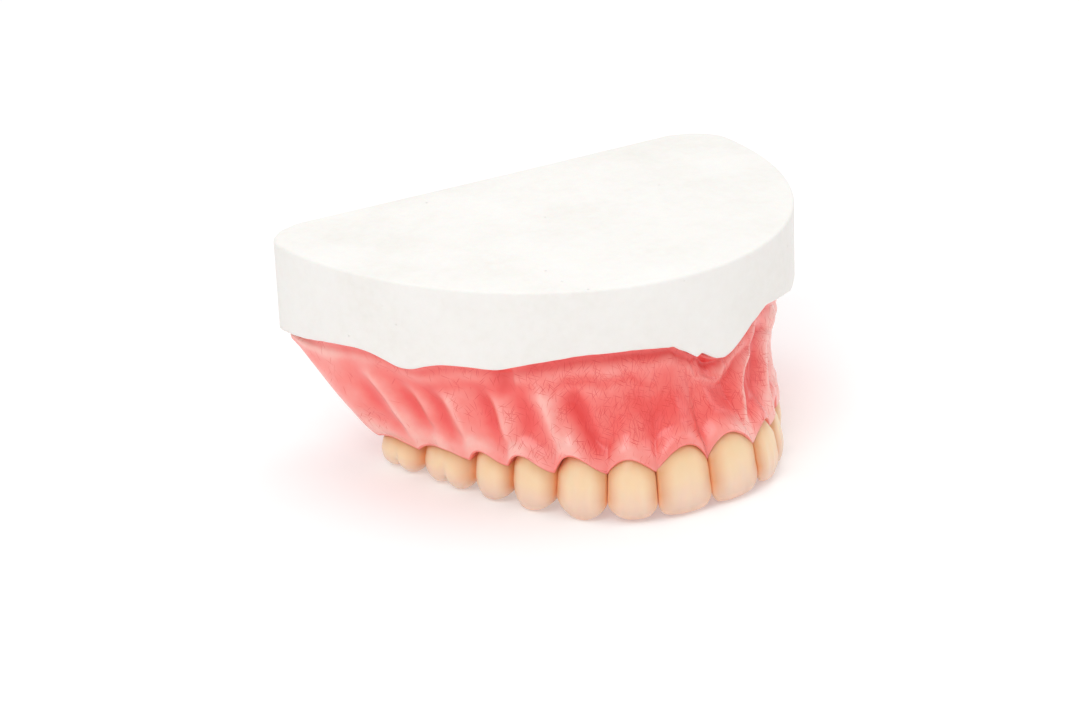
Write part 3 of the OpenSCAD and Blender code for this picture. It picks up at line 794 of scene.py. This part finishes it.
def heel_rows(under, side):
    """Rows behind the denture, which carry the underside round the heel to the back wall."""
    base = under[0] if side < 0 else under[-1]
    places = np.array(HEEL)
    along = np.concatenate([[0], np.cumsum(np.hypot(*np.diff(places, axis=0).T))])
    u = base[:, 0] / base[0, 0]
    flat = lerp(vault(ARCH_LEN) + PALATE_T, land_z(ARCH_LEN), u * u)
    rows = []
    for step in np.linspace(0, along[-1], HEEL_N)[1:]:
        deep = smooth_curve(np.stack([along, places[:, 0]], 1), step, 0.8)
        x = smooth_curve(np.stack([along, places[:, 1]], 1), step, 0.8)
        y = lerp(base[:, 1], CAST_BACK + 0 * u, deep / places[-1, 0])
        rows.append(np.stack([side * x * u, y, lerp(base[:, 2], flat, ease(-1, 3, deep))], -1))
    return np.array(rows)


def make_cast():
    """The underside, the wall up from its outline, the rounded edge and the dished flat face."""
    s = np.linspace(-ARCH_LEN, ARCH_LEN, CAST_STATIONS)
    under = settle_palate(to_points(s, *cast_under(s)), CAST_PALATE)
    left, right = heel_rows(under, -1)[::-1], heel_rows(under, 1)
    under = np.concatenate([left, under, right])
    rows, cols = under.shape[:2]
    ids = shared_ids(rows, cols)
    quads = [grid_quads(ids)]
    points = [under.reshape(-1, 3)]
    count = rows * cols
    # outline of the wall: the under surface's first column, closed along the back
    front = under[:, 0, :]
    back = np.concatenate([under[-1, :, :], under[0, ::-1, :][1:]])[1:-1]
    back_ids = np.concatenate([ids[-1], ids[0, ::-1][1:]])[1:-1]
    loop = np.concatenate([front, back])
    loop_ids = np.concatenate([ids[:, 0], back_ids])
    wall_top = loop * [1, 1, 0] + [0, 0, CAST_TOP - CAST_EDGE_R]
    levels = [lerp(loop, wall_top, t) for t in fade(WALL_N)[1:]]
    centre = np.array([0, DISH_Y])
    out = loop[:, :2] - centre
    size = np.linalg.norm(out, axis=1, keepdims=True)
    for a in fade(7)[1:] * np.pi / 2:
        k = CAST_EDGE_R * (1 - math.cos(a))
        z = np.full((len(loop), 1), CAST_TOP - CAST_EDGE_R * (1 - math.sin(a)))
        levels.append(np.concatenate([centre + out * (1 - k / size), z], 1))
    for f in fade(TOP_N, 1, 0)[1:-1]:
        xy = centre + out * (1 - CAST_EDGE_R / size) * f
        r = np.linalg.norm(xy - centre, axis=1)
        dish = DISH_DEPTH * (1 + np.cos(np.pi * np.clip(r / DISH_R, 0, 1))) / 2
        levels.append(np.concatenate([xy, (CAST_TOP - dish)[:, None]], 1))
    n = len(loop)
    previous = loop_ids
    for level in levels:
        now = np.arange(n) + count
        ring = np.stack([np.concatenate([previous, previous[:1]]), np.concatenate([now, now[:1]])], 0)
        quads.append(grid_quads(ring, True))
        points.append(level)
        count += n
        previous = now
    points.append(np.array([[0, DISH_Y, CAST_TOP - DISH_DEPTH]]))
    cap = np.stack([previous, np.roll(previous, -1), np.full(n, count), np.full(n, count)], 1)
    quads.append(cap[:, ::-1])
    return make_object("cast_plaster", np.concatenate(points), np.concatenate(quads), weld=0.004)


# ---- materials
class Nodes:
    """A short way to write a node material."""

    def __init__(self, name):
        self.material = bpy.data.materials.new(name)
        self.material.use_nodes = True
        self.tree = self.material.node_tree
        self.shader = self.tree.nodes["Principled BSDF"]

    def add(self, kind, **values):
        node = self.tree.nodes.new(kind)
        for key, value in values.items():
            if key in node.inputs:
                node.inputs[key].default_value = value
            else:
                setattr(node, key, value)
        return node

    def link(self, a, b):
        self.tree.links.new(a, b)

    def math(self, kind, a, b, clamp=False):
        node = self.add("ShaderNodeMath", operation=kind, use_clamp=clamp)
        for k, value in enumerate((a, b)):
            if isinstance(value, (int, float)):
                node.inputs[k].default_value = value
            else:
                self.link(value, node.inputs[k])
        return node.outputs[0]

    def ramp(self, value, stops):
        node = self.add("ShaderNodeValToRGB")
        while len(node.color_ramp.elements) < len(stops):
            node.color_ramp.elements.new(0.5)
        for element, (at, colour) in zip(node.color_ramp.elements, stops):
            element.position = at
            element.color = (*colour, 1)
        self.link(value, node.inputs[0])
        return node.outputs[0]

    def step(self, value, low, high):
        node = self.add("ShaderNodeMapRange", clamp=True)
        node.inputs["From Min"].default_value = low
        node.inputs["From Max"].default_value = high
        self.link(value, node.inputs["Value"])
        return node.outputs[0]

    def mix(self, factor, a, b):
        node = self.add("ShaderNodeMix", data_type="RGBA")
        for socket, value in ((node.inputs[0], factor), (node.inputs[6], a), (node.inputs[7], b)):
            if isinstance(value, tuple):
                socket.default_value = (*value, 1)
            else:
                self.link(value, socket)
        return node.outputs[2]

    def noise(self, scale, detail, rough, stretch=None):
        place = self.add("ShaderNodeTexCoord").outputs["Object"]
        if stretch:
            mapping = self.add("ShaderNodeMapping", vector_type="TEXTURE")
            mapping.inputs["Scale"].default_value = [1 / k for k in stretch]
            self.link(place, mapping.inputs["Vector"])
            place = mapping.outputs[0]
        node = self.add("ShaderNodeTexNoise", Scale=scale, Detail=detail, Roughness=rough)
        self.link(place, node.inputs["Vector"])
        return node.outputs[0]

    def attribute(self, name):
        return self.add("ShaderNodeAttribute", attribute_name=name).outputs["Fac"]

    def bump(self, height, strength, distance, below=None):
        node = self.add("ShaderNodeBump", Strength=strength, Distance=distance)
        self.link(height, node.inputs["Height"])
        if below is not None:
            self.link(below, node.inputs["Normal"])
        return node.outputs[0]

    def times(self, a, b):
        return self.math("MULTIPLY", a, b)

    def feed(self, key, value):
        self.link(value, self.shader.inputs[key])

    def surface(self, **values):
        for key, value in values.items():
            self.shader.inputs[key.replace("_", " ")].default_value = value


def srgb(r, g, b):
    """Linear colour from display values of 0 to 255."""
    shares = (r / 255, g / 255, b / 255)
    return tuple(c / 12.92 if c <= 0.04045 else ((c + 0.055) / 1.055) ** 2.4 for c in shares)


# hairs: the ways they run in degrees from upright, and one hair's width, length and bend in mm
HAIR_TURNS = (6, -20, 34, -48, 74)
HAIR_WIDTH, HAIR_LENGTH, HAIR_BEND = 0.075, 1.7, 0.7
# a hair's half width as a share of its cell, the share of cells that hold one, and how dark it shows
HAIR_CORE, HAIR_SHARE, HAIR_DARK = 0.16, 0.8, 0.8


def hair_mask(m):
    """Short dark red hairs lying in the surface: each is the core of one long, thin cell."""
    place = m.add("ShaderNodeCombineXYZ")
    m.link(m.attribute("hair_u"), place.inputs[0])
    m.link(m.attribute("hair_v"), place.inputs[1])
    wander = m.add("ShaderNodeTexNoise", Scale=0.22, Detail=1.0)
    m.link(place.outputs[0], wander.inputs["Vector"])
    bend = m.add("ShaderNodeVectorMath", operation="MULTIPLY_ADD")
    bend.inputs[1].default_value = (2 * HAIR_BEND,) * 3
    m.link(wander.outputs["Color"], bend.inputs[0])
    m.link(place.outputs[0], bend.inputs[2])
    crowd = m.math("ADD", m.noise(150, 2, 0.5), m.times(m.attribute("hair_share"), 0.5))
    share = m.times(m.step(crowd, 0.44, 1.0), HAIR_SHARE)
    total = None
    for turn in HAIR_TURNS:
        mapping = m.add("ShaderNodeMapping", vector_type="TEXTURE")
        mapping.inputs["Rotation"].default_value = (0, 0, math.radians(turn))
        mapping.inputs["Scale"].default_value = (1, HAIR_LENGTH / HAIR_WIDTH, 1)
        m.link(bend.outputs[0], mapping.inputs["Vector"])
        cell = m.add("ShaderNodeTexVoronoi", voronoi_dimensions="2D", Scale=2 * HAIR_CORE / HAIR_WIDTH)
        m.link(mapping.outputs[0], cell.inputs["Vector"])
        hair = m.math("SUBTRACT", 1.0, m.step(cell.outputs["Distance"], 0.6 * HAIR_CORE, 1.2 * HAIR_CORE))
        split = m.add("ShaderNodeSeparateColor")
        m.link(cell.outputs["Color"], split.inputs[0])
        kept = m.math("LESS_THAN", split.outputs[0], share)
        hair = m.times(hair, m.times(kept, m.step(split.outputs[1], -0.8, 0.8)))
        total = hair if total is None else m.math("MAXIMUM", total, hair)
    return total


def pink_acrylic():
    m = Nodes("pink_acrylic")
    # the attribute carries painted shade in the flange's hollows and painted highlights on its crests
    tone_and_shade = m.attribute("tone_and_shade")
    patch = m.noise(210, 4, 0.6)
    tone_and_shade = m.math("ADD", tone_and_shade, m.times(m.math("SUBTRACT", patch, 0.5), 0.6), clamp=True)
    colour = m.ramp(tone_and_shade, [(0.0, srgb(238, 66, 62)), (0.25, srgb(246, 92, 86)), (0.5, srgb(250, 122, 114)),
                           (0.75, srgb(253, 153, 144)), (1.0, srgb(255, 186, 176))])
    colour = m.mix(m.times(hair_mask(m), HAIR_DARK), colour, srgb(222, 32, 36))
    m.feed("Base Color", colour)
    grain = m.noise(1500, 4, 0.6)
    waves = m.noise(260, 3, 0.5)
    first = m.bump(waves, 0.25, 0.0004)
    m.feed("Normal", m.bump(grain, 0.12, 0.0001, first))
    m.feed("Roughness", m.step(m.noise(420, 3, 0.6), -0.8, 2.0))
    m.surface(IOR=1.49, Subsurface_Weight=0.22, Subsurface_Scale=0.0012, Subsurface_Radius=(1.0, 0.35, 0.3))
    m.surface(Coat_Weight=0.7, Coat_Roughness=0.22)
    return m.material


def tooth_acrylic():
    m = Nodes("tooth_acrylic")
    height, sides, neck_tint_and_shade = m.attribute("height"), m.attribute("sides"), m.attribute("neck_tint_and_shade")
    cloud = m.noise(240, 3, 0.55)
    level = m.math("ADD", height, m.times(m.math("SUBTRACT", cloud, 0.5), 0.22), clamp=True)
    body = m.ramp(level, [(0.0, srgb(208, 178, 162)), (0.12, srgb(234, 203, 183)),
                          (0.30, srgb(243, 212, 186)), (0.52, srgb(248, 217, 178)),
                          (0.8, srgb(246, 210, 166)), (1.0, srgb(240, 194, 146))])
    # partly the acrylic's own warmer colour, partly painted shade where the crown's sides turn away towards
    # the next tooth
    proximal_shade = m.math("POWER", m.step(sides, 0.36, 0.94), 1.6)
    proximal_shade = m.times(proximal_shade, m.step(height, -0.05, 0.35))
    colour = m.mix(m.times(proximal_shade, 0.9), body, srgb(222, 150, 98))
    # the neck's own warmer colour and painted shade under the gum edge
    colour = m.mix(m.times(m.math("POWER", neck_tint_and_shade, 1.8), 0.9), colour, srgb(214, 146, 92))
    streak = m.noise(420, 2, 0.5, (1, 1, 0.18))
    colour = m.mix(m.times(m.step(streak, 0.45, 0.75), 0.12), colour, srgb(255, 236, 210))
    m.feed("Base Color", colour)
    joint_glow = m.times(m.step(sides, 0.84, 1.0), m.step(height, 0.0, 0.3))
    under = m.math("SUBTRACT", 1.0, m.step(height, 0.03, 0.12))
    # painted glow: emission makes the joints between teeth and the tips shine warm, standing in for light
    # coming through the acrylic; the tips' glow also warms the floor's shadow under them
    painted_glow = m.times(m.math("MAXIMUM", joint_glow, under), 0.14)
    m.feed("Emission Color", m.mix(painted_glow, (0, 0, 0), srgb(246, 158, 104)))
    fine = m.noise(900, 3, 0.5, (1, 1, 0.35))
    m.feed("Normal", m.bump(fine, 0.10, 0.0002))
    m.feed("Roughness", m.step(m.noise(500, 2, 0.5), -0.7, 1.9))
    m.surface(IOR=1.5, Subsurface_Weight=0.4, Subsurface_Scale=0.0018, Subsurface_Radius=(1.0, 0.55, 0.3))
    # emission strength for the painted glow
    m.surface(Coat_Weight=0.3, Coat_Roughness=0.12, Emission_Strength=1.0)
    return m.material


def pinholes(m):
    """Sparse air holes in the plaster."""
    place = m.add("ShaderNodeTexCoord").outputs["Object"]
    cells = m.add("ShaderNodeTexVoronoi", Scale=420.0)
    m.link(place, cells.inputs["Vector"])
    near = m.math("SUBTRACT", 1.0, m.step(cells.outputs["Distance"], 0.03, 0.09))
    pick = m.step(m.noise(110, 2, 0.5), 0.60, 0.66)
    return m.times(near, pick)


def plaster():
    m = Nodes("plaster")
    cloud = m.noise(60, 5, 0.6)
    fine = m.noise(700, 4, 0.6)
    colour = m.ramp(m.math("ADD", m.times(cloud, 0.7), m.times(fine, 0.3)),
                    [(0.25, srgb(236, 233, 227)), (0.5, srgb(243, 241, 237)), (0.75, srgb(247, 246, 243))])
    holes = pinholes(m)
    # painted shade: the holes are coloured greyer, besides their dent in the surface
    colour = m.mix(m.times(holes, 0.35), colour, srgb(178, 170, 160))
    marks = m.noise(300, 2, 0.6, (1, 1, 0.08))
    m.feed("Base Color", colour)
    first = m.bump(marks, 0.12, 0.0004)
    second = m.bump(fine, 0.25, 0.0003, first)
    m.feed("Normal", m.bump(m.math("SUBTRACT", 1.0, holes), 0.7, 0.0004, second))
    m.feed("Roughness", m.step(cloud, -2.2, 1.2))
    m.surface(IOR=1.45, Specular_IOR_Level=0.25, Subsurface_Weight=0.05, Subsurface_Scale=0.0008)
    return m.material


def floor_white():
    m = Nodes("floor_white")
    colour = m.ramp(m.noise(30, 3, 0.5), [(0.3, srgb(226, 225, 225)), (0.7, srgb(230, 229, 229))])
    m.feed("Base Color", colour)
    m.surface(Roughness=0.7, Specular_IOR_Level=0.2, Emission_Color=(1, 1, 1, 1), Emission_Strength=0.28)
    return m.material


# ---- stage, light and camera
# in metres; the floor lies just under the tooth tips
FLOOR_HALF_W, FLOOR_DROP = 6.0, 0.00002
WORLD_LIGHT = 0.56


def make_stage():
    mesh = bpy.data.meshes.new("floor")
    w = FLOOR_HALF_W
    mesh.from_pydata([(-w, -w, 0), (w, -w, 0), (w, w, 0), (-w, w, 0)], [], [(0, 1, 2, 3)])
    floor = bpy.data.objects.new("floor", mesh)
    floor.location.z = -FLOOR_DROP
    bpy.context.collection.objects.link(floor)
    mesh.materials.append(floor_white())


def area_light(name, place, target, size, power):
    """A square lamp: place, target and side in metres, power in watts."""
    data = bpy.data.lights.new(name, "AREA")
    data.shape, data.energy = "RECTANGLE", power
    data.size = data.size_y = size
    lamp = bpy.data.objects.new(name, data)
    lamp.location = place
    lamp.rotation_euler = (Vector(target) - Vector(place)).to_track_quat("-Z", "Y").to_euler()
    bpy.context.collection.objects.link(lamp)


def make_light():
    world = bpy.data.worlds.new("world")
    bpy.context.scene.world = world
    world.use_nodes = True
    back = world.node_tree.nodes["Background"]
    back.inputs[0].default_value = (1, 1, 1, 1)
    back.inputs[1].default_value = WORLD_LIGHT
    area_light("key", (-0.45, -0.30, 0.60), (0, 0, 0.015), 0.45, 1.85)
    area_light("top", (0.1, 0.15, 0.8), (0, 0, 0.03), 0.7, 2.4)
    area_light("right", (0.60, -0.35, 0.35), (0, 0, 0.012), 0.4, 0.6)


# the photo's camera, fitted to the tooth row: place and direction, roll in degrees, lens in mm
CAMERA_AT = (-219.54, -312.58, 177.74)
CAMERA_FORWARD = (0.48549, 0.78952, -0.37545)
CAMERA_ROLL = -2.33
CAMERA_LENS = 100.5


def make_camera():
    forward = Vector(CAMERA_FORWARD).normalized()
    right = forward.cross(Vector((0, 0, 1))).normalized()
    up = right.cross(forward)
    roll = math.radians(CAMERA_ROLL)
    r2, u2 = right * math.cos(roll) + up * math.sin(roll), up * math.cos(roll) - right * math.sin(roll)
    data = bpy.data.cameras.new("camera")
    data.sensor_width, data.lens = 36.0, CAMERA_LENS
    data.clip_start, data.clip_end = 0.01, 30
    camera = bpy.data.objects.new("camera", data)
    turn = Matrix((r2, u2, -forward)).transposed().to_4x4()
    place = (Vector(CAMERA_AT) - Vector((0, MID_Y, 0))) * MM
    camera.matrix_world = Matrix.Translation(place) @ turn
    bpy.context.collection.objects.link(camera)
    bpy.context.scene.camera = camera


def main():
    pink, ivory, white = pink_acrylic(), tooth_acrylic(), plaster()
    base = make_base()
    base.data.materials.append(pink)
    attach(base, "denture")
    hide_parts("denture_base")
    for i, kind in enumerate(KINDS):
        for side in (-1, 1):
            crown = make_crown(i, side)
            crown.data.materials.append(ivory)
            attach(crown, "denture")
            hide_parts(f"{'right' if side < 0 else 'left'}_{kind}")
    cast = make_cast()
    cast.data.materials.append(white)
    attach(cast, "cast")
    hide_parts("plaster_cast")
    make_stage()
    make_light()
    make_camera()
    scene = bpy.context.scene
    scene.view_settings.view_transform = "Standard"


main()
